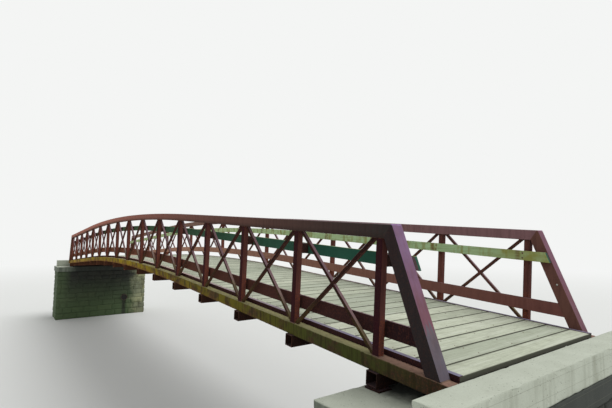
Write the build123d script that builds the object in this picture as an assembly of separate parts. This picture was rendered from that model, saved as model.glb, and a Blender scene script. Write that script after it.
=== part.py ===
"""Arched steel truss footbridge with a timber deck, on two stone abutments.

Units are millimetres. X runs along the bridge, Y across it, Z up. The origin is the
middle of the span at the foot of the abutments. Most steel follows one line, the
underside of the bottom chord: a straight ramp at each end and a flat arc between them.
A place on the bridge is given by its level distance x from mid-span and its height n,
measured square to that line.
"""
import os
from math import asin, atan2, cos, degrees, hypot, radians, sin, sqrt, tan

from build123d import *

os.makedirs("parts", exist_ok=True)

# Line of the span
bays = 15                     # crossed bays in each truss
bay = 1524.0                  # from upright to upright
ramp_angle = 3.65             # slope of the straight end ramps, degrees
arch_radius = 92200.0         # underside of the bottom chord between the ramps
chord_overhang = 890.0        # bottom chord past the last upright, along the slope

# Trusses
truss_depth = 1538.0          # underside of the bottom chord to top of the top chord
clear_width = 3032.0          # between the chords of the two trusses
chord_height = 152.0
chord_width = 152.0
upright_size = 89.0           # square tube
upright_setback = 12.0        # from the outer face of the chords
diagonal_size = 44.0          # square tube
diagonal_foot = 4.0           # upright to the middle of a diagonal where it meets the bottom chord
diagonal_head = 52.0          # the same at the top chord
post_depth = 152.0            # sloping end posts
post_lean = 24.6              # away from square to the chord, degrees
post_gap = 32.0               # between the last upright and the corner of the post

# Guards along the walkway
toe_board_bottom = 342.0
toe_board_height = 179.0
toe_board_thickness = 25.0    # flat band, flush with the inner face of the chords
rub_rail_bottom = 1080.0
rub_rail_height = 142.0
rub_rail_thickness = 38.0
rub_rail_standoff = 44.0      # from the inner face of the chords
rub_rail_joint = 4.0          # between board ends
packer_margin = 6.0           # rail or board past its steel packers, above and below

# Floor
beam_height = 152.0           # square tube under each pair of uprights
beam_width = 152.0
beam_wall = 8.0
beam_overhang = 32.0          # past the outer faces of the chords
brace_size = 51.0             # wind bracing between the floor beams
brace_inset = 130.0           # from the inner face of the chords to the end of a brace
stringer_rows = 5
stringer_height = 152.0
stringer_flange = 50.0
steel_wall = 7.0              # webs and flanges of the rolled channels
edge_clearance = 6.0          # between the edge channel and the bottom chord
edge_flange = 57.0
board_thickness = 51.0
board_side_gap = 4.0          # between the boards' ends and the edge channels
joint_gap = 4.0               # between lengths of stringer, edge channel and floor

# Abutments
abutment_height = 2800.0      # foot of the wall to the bridge seat
seat_reach = 180.0            # front of the seat past the last upright, towards mid-span
side_margin = 650.0           # seat past the outer face of the chords
backwall_side_margin = 545.0
cap_thickness = 260.0
cap_nosing = 40.0             # concrete cap past the masonry, front and sides
backwall_gap = 45.0           # end of the bridge to the back wall
backwall_thickness = 345.0
backwall_drop = 30.0          # top of the back wall below the floor
sole_height = 16.0            # bevelled sole plate at its thin edge
sole_length = 150.0
bearing_thickness = 20.0
bearing_length = 210.0
bearing_width = 190.0

# Places that follow from the sizes above
slope = radians(ramp_angle)
lean = radians(post_lean)
arc_end = arch_radius * sin(slope)
x_last = bays * bay / 2
x_end = x_last + chord_overhang * cos(slope)
stations = [x_last - i * bay for i in range(bays + 1)]
half_clear = clear_width / 2
half_width = half_clear + chord_width
chord_y = half_clear + chord_width / 2
web_y = half_width - upright_setback - upright_size / 2
rail_back = rub_rail_standoff - half_clear
top_chord_bottom = truss_depth - chord_height
edge_channel_height = stringer_height + board_thickness + steel_wall
floor_top = stringer_height + board_thickness


def chord_line(x):
    """Height of the line above its own ends, and its slope angle, at level distance x."""
    if abs(x) > arc_end:
        rise = tan(slope) * (x_end - abs(x))
        angle = slope if x > 0 else -slope
    else:
        rise = tan(slope) * (x_end - arc_end) + sqrt(arch_radius**2 - x**2) - arch_radius * cos(slope)
        angle = asin(x / arch_radius)
    return rise, angle


seat_to_line = bearing_thickness + sole_height + beam_height / cos(slope) + tan(slope) * sole_length / 2
z_end = abutment_height + seat_to_line - chord_line(x_last)[0]


def at(x, n):
    """Point in the XZ plane at level distance x and height n square to the line."""
    rise, angle = chord_line(x)
    return Vector(x + n * sin(angle), 0, z_end + rise + n * cos(angle))


def run(x0, x1, n):
    """Edges that follow the line from x0 to x1 at height n."""
    turns = [x for x in (-arc_end, arc_end) if x0 < x < x1]
    stops = [x0, *turns, x1]
    edges = []
    for a, b in zip(stops, stops[1:]):
        middle = (a + b) / 2
        if abs(middle) > arc_end:
            edges.append(Line(at(a, n), at(b, n)))
        else:
            edges.append(ThreePointArc(at(a, n), at(middle, n), at(b, n)))
    return edges


def strip(low, high, n0, n1, y0, y1):
    """Solid that follows the line between heights n0 and n1, from y0 to y1.

    low and high are the level distances where its bottom and its top start and stop, so
    its ends can slant."""
    sides = [Line(at(low[1], n0), at(high[1], n1)), Line(at(high[0], n1), at(low[0], n0))]
    outline = Wire([*run(*low, n0), sides[0], *run(*high, n1), sides[1]])
    return Pos(0, y0, 0) * extrude(Face(outline), amount=y1 - y0, dir=(0, 1, 0))


def length(x0, x1, n0, n1, y0, y1):
    """Solid that follows the line and is cut square at both ends."""
    return strip((x0, x1), (x0, x1), n0, n1, y0, y1)


def slab(points, y0, y1):
    """Solid with straight sides through points of the XZ plane, from y0 to y1."""
    outline = Wire([Line(a, b) for a, b in zip(points, points[1:] + points[:1])])
    return Pos(0, y0, 0) * extrude(Face(outline), amount=y1 - y0, dir=(0, 1, 0))


def bar(start, end, size, y0, y1):
    """Straight bar between two points of the XZ plane."""
    along = (end - start).normalized()
    side = Vector(along.Z, 0, -along.X) * (size / 2)
    return slab([start + side, end + side, end - side, start - side], y0, y1)


def lengths(joints, gap):
    """Pairs of level distances, each end at a joint set back by half the gap."""
    starts = [joints[0]] + [x + gap / 2 for x in joints[1:-1]]
    stops = [x - gap / 2 for x in joints[1:-1]] + [joints[-1]]
    return list(zip(starts, stops))


long_joints = [-x_end, *(k * bay for k in (-2.5, 2.5)), x_end]
board_joints = [-x_end, *(k * bay for k in (-4.5, -1.5, 1.5, 4.5)), x_end]


def past_upright(t):
    """Level distance of a place on the right ramp, t along the slope past the last upright."""
    return x_last + t * cos(slope)


# Corners of the sloping post, along the slope past the last upright
post_inner_head = upright_size / 2 + post_gap
post_outer_head = post_inner_head + post_depth / cos(lean) - chord_height * tan(lean)


def post_outer(n):
    """Outer edge of the right end post at height n."""
    return past_upright(post_outer_head + (truss_depth - n) * tan(lean))


def post_inner(n):
    """Inner edge of the right end post at height n."""
    return past_upright(post_inner_head + (top_chord_bottom - n) * tan(lean))


def top_chord():
    inner = past_upright(post_inner_head)
    outer = past_upright(post_outer_head)
    return strip((-inner, inner), (-outer, outer), top_chord_bottom, truss_depth, -half_width, -half_clear)


def bottom_chord():
    return length(-x_end, x_end, 0, chord_height, -half_width, -half_clear)


def right_end_post():
    corners = [
        at(past_upright(post_outer_head), truss_depth),
        at(past_upright(post_inner_head), top_chord_bottom),
        at(post_inner(chord_height), chord_height),
        at(post_outer(chord_height), chord_height),
    ]
    return slab(corners, -half_width, -half_clear)


def web_space(size):
    """Room between the chords, as thick as a member of that size in the truss's plane."""
    return length(-x_end, x_end, chord_height, top_chord_bottom, -web_y - size / 2, -web_y + size / 2)


def uprights():
    space = web_space(upright_size)
    pieces = []
    for x in stations:
        post = bar(at(x, 0), at(x, truss_depth), upright_size, -half_width, -half_clear)
        pieces.append(post & space)
    return pieces


def diagonals():
    """One cross in each bay, its two bars fused where they meet."""
    space = web_space(diagonal_size)
    foot = upright_size / 2 + diagonal_foot
    head = upright_size / 2 + diagonal_head
    pieces = []
    for right, left in zip(stations, stations[1:]):
        crossed = []
        for low, high in ((left + foot, right - head), (right - foot, left + head)):
            start = at(low, chord_height)
            end = at(high, top_chord_bottom)
            past = (end - start).normalized() * diagonal_size
            crossed.append(bar(start - past, end + past, diagonal_size, -half_width, -half_clear))
        cross = (crossed[0] + crossed[1]) & space
        for x in (left, right):
            cross -= bar(at(x, 0), at(x, truss_depth), upright_size, -half_width, -half_clear)
        pieces.append(cross)
    return pieces


def toe_board():
    """Steel band on the walkway side, cut to the slope of the end posts."""
    n0 = toe_board_bottom
    n1 = toe_board_bottom + toe_board_height
    pieces = []
    for x0, x1 in lengths(long_joints, joint_gap):
        low = [max(x0, -post_inner(n0)), min(x1, post_inner(n0))]
        high = [max(x0, -post_inner(n1)), min(x1, post_inner(n1))]
        pieces.append(strip(low, high, n0, n1, -half_clear - toe_board_thickness, -half_clear))
    return pieces


def rub_rail():
    """Timber rail on the walkway side, its ends sawn flush with the end posts."""
    n0 = rub_rail_bottom
    n1 = rub_rail_bottom + rub_rail_height
    pieces = []
    for x0, x1 in lengths(board_joints, rub_rail_joint):
        low = [max(x0, -post_outer(n0)), min(x1, post_outer(n0))]
        high = [max(x0, -post_outer(n1)), min(x1, post_outer(n1))]
        pieces.append(strip(low, high, n0, n1, rail_back, rail_back + rub_rail_thickness))
    return pieces


def packers():
    """Steel blocks that hold the rub rail and the toe board off the uprights and the end posts."""
    y0 = -web_y + upright_size / 2
    rows = [
        (rub_rail_bottom, rub_rail_height, rail_back),
        (toe_board_bottom, toe_board_height, -half_clear - toe_board_thickness),
    ]
    pieces = []
    for bottom, height, y1 in rows:
        n0 = bottom + packer_margin
        n1 = bottom + height - packer_margin
        pieces += [bar(at(x, n0), at(x, n1), upright_size, y0, y1) for x in stations]
    n0 = rub_rail_bottom + packer_margin
    n1 = rub_rail_bottom + rub_rail_height - packer_margin
    low = (post_inner(n0), post_outer(n0))
    high = (post_inner(n1), post_outer(n1))
    end_packer = strip(low, high, n0, n1, -half_clear, rail_back)
    return [*pieces, end_packer, mirror(end_packer, about=Plane.YZ)]


def floor_beams():
    """Open-ended square tubes under the bottom chords, one at each pair of uprights."""
    reach = half_width + beam_overhang
    pieces = []
    for x in stations:
        x0 = x - beam_width / 2
        x1 = x + beam_width / 2
        tube = length(x0, x1, -beam_height, 0, -reach, reach)
        bore = length(x0 + beam_wall, x1 - beam_wall, beam_wall - beam_height, -beam_wall, -reach, reach)
        pieces.append(tube - bore)
    return pieces


def wind_brace(x0, x1, hand):
    """One tube of the wind bracing, corner to corner in plan between two floor beams."""
    n0 = -(beam_height + brace_size) / 2
    across = 2 * (half_clear - brace_inset) * hand
    rod = Box(hypot(x1 - x0, across) + 2 * beam_width, brace_size, truss_depth)
    place = Location(at((x0 + x1) / 2, 0), (0, 0, degrees(atan2(across, x1 - x0))))
    return place * rod & length(x0, x1, n0, n0 + brace_size, -half_clear, half_clear)


def wind_braces():
    """The braces zigzag from both ends of the bridge to a cross in the middle bay."""
    pieces = []
    for i, (right, left) in enumerate(zip(stations, stations[1:])):
        x0 = left + beam_width / 2
        x1 = right - beam_width / 2
        from_end = min(i, bays - 1 - i)
        hand = 1 if from_end % 2 else -1
        if i == bays - 1 - i:
            pieces.append(wind_brace(x0, x1, 1) + wind_brace(x0, x1, -1))
        else:
            pieces.append(wind_brace(x0, x1, hand if i == from_end else -hand))
    return pieces


def channel(x0, x1, n1, y_web, flange):
    """Rolled channel standing on the floor beams; its flanges point the way of flange's sign."""
    web = sorted((y_web, y_web + (steel_wall if flange > 0 else -steel_wall)))
    wide = sorted((y_web, y_web + flange))
    body = length(x0, x1, 0, n1, *web)
    body += length(x0, x1, 0, steel_wall, *wide)
    return body + length(x0, x1, n1 - steel_wall, n1, *wide)


def stringers():
    outermost = half_clear - edge_clearance - edge_flange - stringer_flange
    pieces = []
    for row in range(stringer_rows):
        y = outermost * (2 * row / (stringer_rows - 1) - 1)
        flange = -stringer_flange if y > 0 else stringer_flange
        for x0, x1 in lengths(long_joints, joint_gap):
            pieces.append(channel(x0, x1, stringer_height, y, flange))
    return pieces


def edge_channel():
    y = -half_clear + edge_clearance
    return [channel(x0, x1, edge_channel_height, y, edge_flange) for x0, x1 in lengths(long_joints, joint_gap)]


def floor():
    """The boarded floor, in lengths that end over floor beams, tucked under the edge channels."""
    reach = half_clear - edge_clearance - steel_wall - board_side_gap
    return [length(x0, x1, stringer_height, floor_top, -reach, reach) for x0, x1 in lengths(board_joints, joint_gap)]


# Abutment at the right end; the left one is its mirror image
seat_front = x_last - seat_reach
backwall_front = x_end + backwall_gap
backwall_back = backwall_front + backwall_thickness
seat_half_width = half_width + side_margin
backwall_half_width = half_width + backwall_side_margin
cap_bottom = abutment_height - cap_thickness
backwall_top = at(x_end, floor_top).Z - backwall_drop


def block(x0, x1, half, z0, z1):
    """Level block, as wide to both sides of the middle line."""
    return Pos((x0 + x1) / 2, 0, (z0 + z1) / 2) * Box(x1 - x0, 2 * half, z1 - z0)


def right_abutment_wall():
    return block(seat_front + cap_nosing, backwall_back, seat_half_width - cap_nosing, 0, cap_bottom)


def right_seat_cap():
    return block(seat_front, backwall_back, seat_half_width, cap_bottom, abutment_height)


def right_back_wall():
    return block(backwall_front, backwall_back, backwall_half_width, abutment_height, backwall_top)


def right_bearings():
    """A level plate on the seat under each chord, with a bevelled sole plate on it."""
    z = abutment_height + bearing_thickness
    under = [at(x_last + k * sole_length / 2, -beam_height) for k in (-1, 1)]
    corners = [Vector(under[0].X, 0, z), Vector(under[1].X, 0, z), under[1], under[0]]
    middle = (under[0].X + under[1].X) / 2
    pieces = []
    for y in (-chord_y, chord_y):
        sole = slab(corners, y - chord_width / 2, y + chord_width / 2)
        plate = Pos(middle, y, z - bearing_thickness / 2) * Box(bearing_length, bearing_width, bearing_thickness)
        pieces.append(sole + plate)
    return pieces


def save(name, shapes):
    shapes = shapes if isinstance(shapes, list) else [shapes]
    solids = [solid for shape in shapes for solid in shape.solids()]
    export_step(Compound(solids) if len(solids) > 1 else solids[0], f"parts/{name}.step")


def mirrored(shapes, plane):
    shapes = shapes if isinstance(shapes, list) else [shapes]
    return [mirror(shape, about=plane) for shape in shapes]


# Both trusses are alike, and so are both ends
truss_pieces = {
    "bottom_chord": bottom_chord(),
    "top_chord": top_chord(),
    "right_end_post": right_end_post(),
    "left_end_post": mirrored(right_end_post(), Plane.YZ),
    "uprights": uprights(),
    "diagonals": diagonals(),
    "toe_board": toe_board(),
    "rub_rail": rub_rail(),
    "packers": packers(),
    "edge_channel": edge_channel(),
}
for name, shapes in truss_pieces.items():
    save(f"front_{name}", shapes)
    save(f"rear_{name}", mirrored(shapes, Plane.XZ))

save("floor_beams", floor_beams())
save("wind_braces", wind_braces())
save("stringers", stringers())
save("floor", floor())

end_pieces = {
    "abutment_wall": right_abutment_wall(),
    "seat_cap": right_seat_cap(),
    "back_wall": right_back_wall(),
    "bearings": right_bearings(),
}
for name, shapes in end_pieces.items():
    save(f"right_{name}", shapes)
    save(f"left_{name}", mirrored(shapes, Plane.YZ))
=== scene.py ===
import math
import random
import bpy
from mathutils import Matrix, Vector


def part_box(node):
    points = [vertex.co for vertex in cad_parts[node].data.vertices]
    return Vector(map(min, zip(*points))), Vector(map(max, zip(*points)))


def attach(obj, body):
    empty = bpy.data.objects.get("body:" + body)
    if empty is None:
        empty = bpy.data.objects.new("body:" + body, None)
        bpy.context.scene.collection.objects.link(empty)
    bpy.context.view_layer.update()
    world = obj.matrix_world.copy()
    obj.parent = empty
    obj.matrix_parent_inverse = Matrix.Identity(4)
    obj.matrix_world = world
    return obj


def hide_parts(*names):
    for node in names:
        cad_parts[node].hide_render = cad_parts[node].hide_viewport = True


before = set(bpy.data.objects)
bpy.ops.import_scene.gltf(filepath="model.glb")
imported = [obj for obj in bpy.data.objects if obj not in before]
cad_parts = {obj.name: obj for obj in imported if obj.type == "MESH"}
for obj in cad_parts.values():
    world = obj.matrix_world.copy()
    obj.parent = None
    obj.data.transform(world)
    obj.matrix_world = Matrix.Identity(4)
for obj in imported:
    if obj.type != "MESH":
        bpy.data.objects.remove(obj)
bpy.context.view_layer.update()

from types import SimpleNamespace

import bmesh
import bpy
from mathutils import Matrix, Vector, noise

# Camera. It stands past the right end, outside the front truss and a little above the floor of
# the bridge, and looks along it towards the left end.
camera_place = Vector((14.5473, -4.8700, 4.3507))
camera_turn = 0.6382          # radians, from straight along the bridge towards its rear side
camera_rise = 0.0873
camera_tilt = 0.0070
focal_length = 24.155         # on a picture 36 mm wide
picture_width = 36.0
farthest_seen = 900.0

ahead = Vector((
    -math.cos(camera_turn) * math.cos(camera_rise),
    math.sin(camera_turn) * math.cos(camera_rise),
    math.sin(camera_rise),
))
level_right = ahead.cross(Vector((0, 0, 1))).normalized()
level_up = level_right.cross(ahead)
camera_right = level_right * math.cos(camera_tilt) + level_up * math.sin(camera_tilt)
camera_up = level_up * math.cos(camera_tilt) - level_right * math.sin(camera_tilt)
camera = bpy.data.objects.new("camera", bpy.data.cameras.new("camera"))
camera.matrix_world = (
    Matrix.Translation(camera_place)
    @ Matrix((camera_right, camera_up, -ahead)).transposed().to_4x4()
)
camera.data.sensor_width = picture_width
camera.data.lens = focal_length
camera.data.clip_end = farthest_seen
bpy.context.scene.collection.objects.link(camera)
bpy.context.scene.camera = camera
bpy.context.scene.view_settings.view_transform = "Standard"

# Studio. A plain pale floor level with the foot of the abutments, a pale even surround and
# one wide soft lamp high behind the rear truss, so that upper faces are the lightest.
floor_reach = 400.0
fade_from = 16.0              # distance at which the floor starts to turn into the surround
fade_to = 70.0
surround = "#f4f5f4"
surround_light = 0.80
lamp_strength = 1.5
lamp_softness = math.radians(40)
lamp_from = Vector((0.40, 0.45, 1.0))


def linear(colour):
    """An sRGB hex colour as the linear values that the shaders use."""
    values = [int(colour[i:i + 2], 16) / 255 for i in (1, 3, 5)]
    return [v / 12.92 if v <= 0.04045 else ((v + 0.055) / 1.055) ** 2.4 for v in values] + [1.0]


def feed(tree, socket, source):
    """Sets a socket to a number or hex colour, or links it to an output or a whole node."""
    if isinstance(source, bpy.types.Node):
        source = next(output for output in source.outputs if output.enabled)
    if isinstance(source, bpy.types.NodeSocket):
        tree.links.new(source, socket)
    else:
        socket.default_value = linear(source) if isinstance(source, str) else source


def add(tree, kind, inputs=None, **settings):
    """Adds a node with its settings and feeds its inputs. By number, MapRange takes its value
    as 0, the span as 1 and 2 and the new span as 3 and 4, and Mix takes the share as 0 and the
    two colours as 6 and 7."""
    made = tree.nodes.new("ShaderNode" + kind)
    for name, value in settings.items():
        setattr(made, name, value)
    for name, source in (inputs or {}).items():
        feed(tree, made.inputs[name], source)
    return made


def new_material(name, **surface):
    """A material with one Principled shader, and its node tree."""
    material = bpy.data.materials.new(name)
    material.use_nodes = True
    shader = material.node_tree.nodes["Principled BSDF"]
    for socket, value in surface.items():
        shader.inputs[socket.replace("_", " ")].default_value = value
    return material, material.node_tree, shader


def backdrop_seen(tree):
    """1 for the rays that show the backdrop, straight or in a gloss, and 0 for those that light."""
    rays = add(tree, "LightPath")
    seen = rays.outputs["Is Camera Ray"]
    for kind in ("Is Glossy Ray", "Is Transmission Ray"):
        seen = add(tree, "Math", {0: seen, 1: rays.outputs[kind]}, operation="MAXIMUM")
    return seen


studio_floor_mesh = bpy.data.meshes.new("studio_floor")
studio_floor_mesh.from_pydata(
    [(-floor_reach, -floor_reach, 0), (floor_reach, -floor_reach, 0),
     (floor_reach, floor_reach, 0), (-floor_reach, floor_reach, 0)], [], [(0, 1, 2, 3)])
studio_floor = bpy.data.objects.new("studio_floor", studio_floor_mesh)
bpy.context.scene.collection.objects.link(studio_floor)

# Matt paper: an even pale tone that keeps the soft shadow of the bridge. Far out it takes the
# colour of the surround, so that no edge shows.
paper, tree, shader = new_material("studio_paper", Roughness=0.9)
feed(tree, shader.inputs["Base Color"], "#d4d5d3")
where = add(tree, "TexCoord").outputs["Object"]
out_there = add(tree, "VectorMath", {0: where}, operation="LENGTH")
far = add(tree, "MapRange", {0: out_there, 1: fade_from, 2: fade_to}, interpolation_type="SMOOTHSTEP")
fade = add(tree, "Math", {0: far, 1: backdrop_seen(tree)}, operation="MULTIPLY")
glow = add(tree, "Emission", {"Color": surround, "Strength": 1.0})
blend = add(tree, "MixShader", {0: fade, 1: shader, 2: glow})
feed(tree, tree.nodes["Material Output"].inputs["Surface"], blend)
studio_floor.data.materials.append(paper)

world = bpy.data.worlds.new("surround")
world.use_nodes = True
bpy.context.scene.world = world
tree = world.node_tree
straight = add(tree, "Background", {"Color": surround, "Strength": 1.0})
around = add(tree, "Background", {"Color": surround, "Strength": surround_light})
chosen = add(tree, "MixShader", {0: backdrop_seen(tree), 1: around, 2: straight})
feed(tree, tree.nodes["World Output"].inputs["Surface"], chosen)

lamp = bpy.data.objects.new("lamp", bpy.data.lights.new("lamp", "SUN"))
lamp.data.energy = lamp_strength
lamp.data.angle = lamp_softness
lamp.matrix_world = lamp_from.to_track_quat("Z", "Y").to_matrix().to_4x4()
bpy.context.scene.collection.objects.link(lamp)

# Abutment walls. Squared stones of local grey and tan limestone, split with a hammer, laid in
# level courses that run round the corners, and bedded in lime mortar that lies a little back.
course_height = (0.19, 0.31)
stone_length = (0.32, 0.85)
joint = 0.010
joint_depth = 0.016
stone_swell = 0.012           # middle of a stone's face past its edges
least_swell = 0.3             # that of the flattest stone, as a share of the most
swell_curve = 0.6             # below 1, a face reaches its full swell soon after its edge
stone_rough = 0.006
stone_tip = 0.005             # head of a face past its foot, at most
stone_edge = 0.035            # width of the edge that the hammer has rounded
edge_fall = 0.011             # how far that edge falls back
edge_wander = 0.006
edge_waves = 9                # per metre
face_waves = 14
face_slice = 7.3              # where the noise of the faces is cut
stones_apart = 50             # how far apart the noise of two stones' edges may be taken
stone_depth = 0.060
stone_cell = 0.040
corner_lap = 0.11             # least reach of a corner stone round its corner
most_lap = 0.34
most_first_lap = 0.30         # at the corner where a course starts


def put(name, mesh, material):
    """Adds a mesh as a piece of the bridge, in place, with its finish. Edges between a flat
    and a rounded face are made sharp, since the shading of one would run on over the other."""
    bmesh.ops.recalc_face_normals(mesh, faces=mesh.faces)
    for edge in mesh.edges:
        edge.smooth = len({face.smooth for face in edge.link_faces}) == 1
    data = bpy.data.meshes.new(name)
    mesh.to_mesh(data)
    mesh.free()
    data.materials.append(material)
    piece = bpy.data.objects.new(name, data)
    bpy.context.scene.collection.objects.link(piece)
    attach(piece, "root")
    return piece


def shares(total, low, high, chance):
    """Splits a length into parts between low and high that fill it exactly."""
    parts = []
    while sum(parts) < total - low / 2:
        parts.append(chance.uniform(low, high))
    return [part * total / sum(parts) for part in parts]


def stone(mesh, tone_layer, tone, place, s0, s1, corners, z0, z1, chance):
    """One closed stone on the strip from s0 to s1 round the wall and from z0 to z1."""
    stops = [s0, *(c for c in corners if s0 < c < s1), s1]
    across = []
    for a, b in zip(stops, stops[1:]):
        cells = max(2, round((b - a) / stone_cell))
        across += [a + (b - a) * i / cells for i in range(cells)]
    across.append(s1)
    rows = max(3, round((z1 - z0) / stone_cell))
    swell = stone_swell * chance.uniform(least_swell, 1.0)
    tip = chance.uniform(-stone_tip, stone_tip)
    face = []
    for z in [z0 + (z1 - z0) * j / rows for j in range(rows + 1)]:
        line = []
        for s in across:
            to_edge = min(s - s0, s1 - s, z - z0, z1 - z)
            rounding = max(0.0, 1 - to_edge / stone_edge)
            ragged = noise.noise(Vector((s * edge_waves, z * edge_waves, tone * stones_apart)))
            hump = noise.noise(Vector((s * face_waves, z * face_waves, face_slice)))
            out = swell * (1 - rounding) ** swell_curve - edge_fall * rounding**2 + stone_rough * hump
            out += tip * (2 * (z - z0) / (z1 - z0) - 1)
            shift = edge_wander * ragged * rounding * (1 if z < (z0 + z1) / 2 else -1)
            line.append(mesh.verts.new(place(s, z + shift, out)))
        face.append(line)
    back = [[mesh.verts.new(place(s, z, -stone_depth)) for s in across] for z in (z0, z1)]
    made = []
    last = len(across) - 1
    for j in range(rows):
        for i in range(last):
            made.append((face[j][i], face[j][i + 1], face[j + 1][i + 1], face[j + 1][i]))
    for i in range(last):
        made.append((back[0][i], back[1][i], back[1][i + 1], back[0][i + 1]))
        made.append((face[0][i], back[0][i], back[0][i + 1], face[0][i + 1]))
        made.append((face[rows][i + 1], back[1][i + 1], back[1][i], face[rows][i]))
    for i in (0, last):
        side = [face[j][i] for j in range(rows + 1)] + [back[1][i], back[0][i]]
        made.append(side if i == 0 else side[::-1])
    for outline in made:
        made_face = mesh.faces.new(outline)
        made_face.smooth = True
        for loop in made_face.loops:
            loop[tone_layer] = (tone, chance.random(), 0.0, 1.0)


def stone_wall(node, seed):
    """The stones round all four sides of one abutment, with the mortar behind them."""
    low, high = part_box(node)
    chance = random.Random(seed)
    size = high - low
    plan = [Vector((x, y)) for x, y in ((low.x, low.y), (high.x, low.y), (high.x, high.y), (low.x, high.y))]
    corners = [sum([size.x, size.y, size.x, size.y][:k]) for k in range(5)]
    around_all = corners[4]

    def place(s, z, out):
        """Point at distance s round the wall; at a corner, out runs along the mitre."""
        s = s % around_all
        k = max(i for i in range(4) if corners[i] <= s + 1e-9)
        along = (plan[(k + 1) % 4] - plan[k]).normalized()
        outwards = Vector((along.y, -along.x))
        if abs(s - corners[k]) < 1e-6:
            before = (plan[k] - plan[k - 1]).normalized()
            outwards = outwards + Vector((before.y, -before.x))
        point = plan[k] + along * (s - corners[k]) + outwards * (out - stone_swell)
        return Vector((point.x, point.y, z))

    mesh = bmesh.new()
    tone_layer = mesh.loops.layers.color.new("tone")
    z = low.z
    for height in shares(size.z, *course_height, chance):
        start = -chance.uniform(corner_lap, most_first_lap)
        seams = [start]
        laps = [c + chance.uniform(corner_lap, most_lap) * chance.choice((-1, 1)) for c in corners[1:4]]
        for target in (*laps, start + around_all):
            for length in shares(target - seams[-1], *stone_length, chance):
                seams.append(seams[-1] + length)
        for s0, s1 in zip(seams, seams[1:]):
            stone(mesh, tone_layer, chance.random(), place, s0 + joint / 2, s1 - joint / 2,
                  corners, z + joint / 2, z + height - joint / 2, chance)
        z += height
    inset = stone_swell + joint_depth
    bed_size = size - 2 * Vector((inset, inset, 0))
    for vertex in bmesh.ops.create_cube(mesh, size=1.0)["verts"]:
        vertex.co = (low + high) / 2 + vertex.co * bed_size
    wall = put(f"{node}_stones", mesh, limestone)
    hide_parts(node)


def stain(tree, under, over, pattern, low, high, amount, only=None):
    """Lays a colour over another: none of it where the pattern is at low, and that amount of
    it where the pattern is at high. Only is a share that thins the stain."""
    share = add(tree, "MapRange", {0: pattern, 1: low, 2: high, 3: 0.0, 4: amount})
    if only is not None:
        share = add(tree, "Math", {0: share, 1: only}, operation="MULTIPLY")
    return add(tree, "Mix", {0: share, 6: under, 7: over}, data_type="RGBA")


# Split limestone is matt and chalky: its grit scatters the light, and each stone has a tone of
# its own. It soaks up rain, so the runs and the foot of a wall are dark. Under the floor the
# wall is painted dark as the floor's shadow, with damp green slime in it.
stone_grit = 0.012            # real grit of 2 mm is too fine to show, so it is drawn coarser
stone_cloud = 0.35
stone_run = 0.16
splash = (0.9, 0.1)           # heights: rain splashes up to the first and soaks the second
shadow_slime_heights = (2.2, 0.5)     # heights: the painted shadow under the floor is near black at the first and slime green at the second
past_floor_shadow = (-1.6, -2.0)     # from below the front edge of the floor to out past it, where the painted shadow turns a lighter green
floor_shadow_span = (1.50, 0.90)     # from the rear end of a wall, which the painted shadow leaves out, forwards into it
shadow_wander = -0.9            # how far the cloudy pattern shifts that
pipe_y = 1.13                 # of the weep pipe, from which a dark run comes down
pipe_height = 0.965
weep_width = (0.15, 0.06)     # from the middle of that run
weep_height = (pipe_height - 0.04, pipe_height - 0.14)

limestone, tree, shader = new_material("limestone_hammer_split", Roughness=0.92)
where = add(tree, "TexCoord").outputs["Object"]
x, y, height = add(tree, "SeparateXYZ", {0: where}).outputs
tone = add(tree, "SeparateColor", {0: add(tree, "Attribute", attribute_name="tone")})
stretched = add(tree, "Mapping", {"Vector": where, "Scale": (1.0, 1.0, 0.15)})
grit, cloud, runs = [
    add(tree, "TexNoise", {"Vector": at, "Scale": 1 / size, "Detail": detail, "Roughness": roughness})
    for at, size, detail, roughness in (
        (where, stone_grit, 4.0, 0.65), (where, stone_cloud, 5.0, 0.6), (stretched, stone_run, 4.0, 0.5))
]
warm = add(tree, "Mix", {0: tone, 6: "#828970", 7: "#abae84"}, data_type="RGBA")
pale = stain(tree, warm, "#6a6652", grit, 0.35, 0.70, 0.55)
damp = stain(tree, pale, "#4d4c39", cloud, 0.45, 0.68, 0.6)
stained = stain(tree, damp, "#45422f", runs, 0.54, 0.70, 0.45)
wet = stain(tree, stained, "#2f3322", height, *splash, 0.75, only=cloud)
# Painted shadow of the floor with slime in it: near black high up, greener low down and past the front edge
# of the floor, and left out at the rear end of the wall.
slime_and_painted_shadow = stain(tree, "#16191a", "#3f5232", height, *shadow_slime_heights, 1.0)
green = stain(tree, slime_and_painted_shadow, "#46583a", y, *past_floor_shadow, 0.8)
wandering_shadow_edge = add(tree, "Math", {0: cloud, 1: shadow_wander, 2: y}, operation="MULTIPLY_ADD")
shaded = stain(tree, wet, green, wandering_shadow_edge, *floor_shadow_span, 0.93)
from_pipe = add(tree, "Math", {0: y, 1: pipe_y}, operation="SUBTRACT")
beside_pipe = add(tree, "Math", {0: from_pipe}, operation="ABSOLUTE")
below_pipe = add(tree, "MapRange", {0: height, 1: weep_height[0], 2: weep_height[1]})
left_wall = add(tree, "MapRange", {0: x, 1: 0.1, 2: -0.1})
run_there = add(tree, "Math", {0: below_pipe, 1: left_wall}, operation="MULTIPLY")
wept = stain(tree, shaded, "#1d1f17", beside_pipe, *weep_width, 0.8, only=run_there)
feed(tree, shader.inputs["Base Color"], wept)
feed(tree, shader.inputs["Normal"], add(tree, "Bump", {"Height": grit, "Strength": 0.8, "Distance": 0.006}))

stone_wall("right_abutment_wall", 11)
stone_wall("left_abutment_wall", 23)

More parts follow.
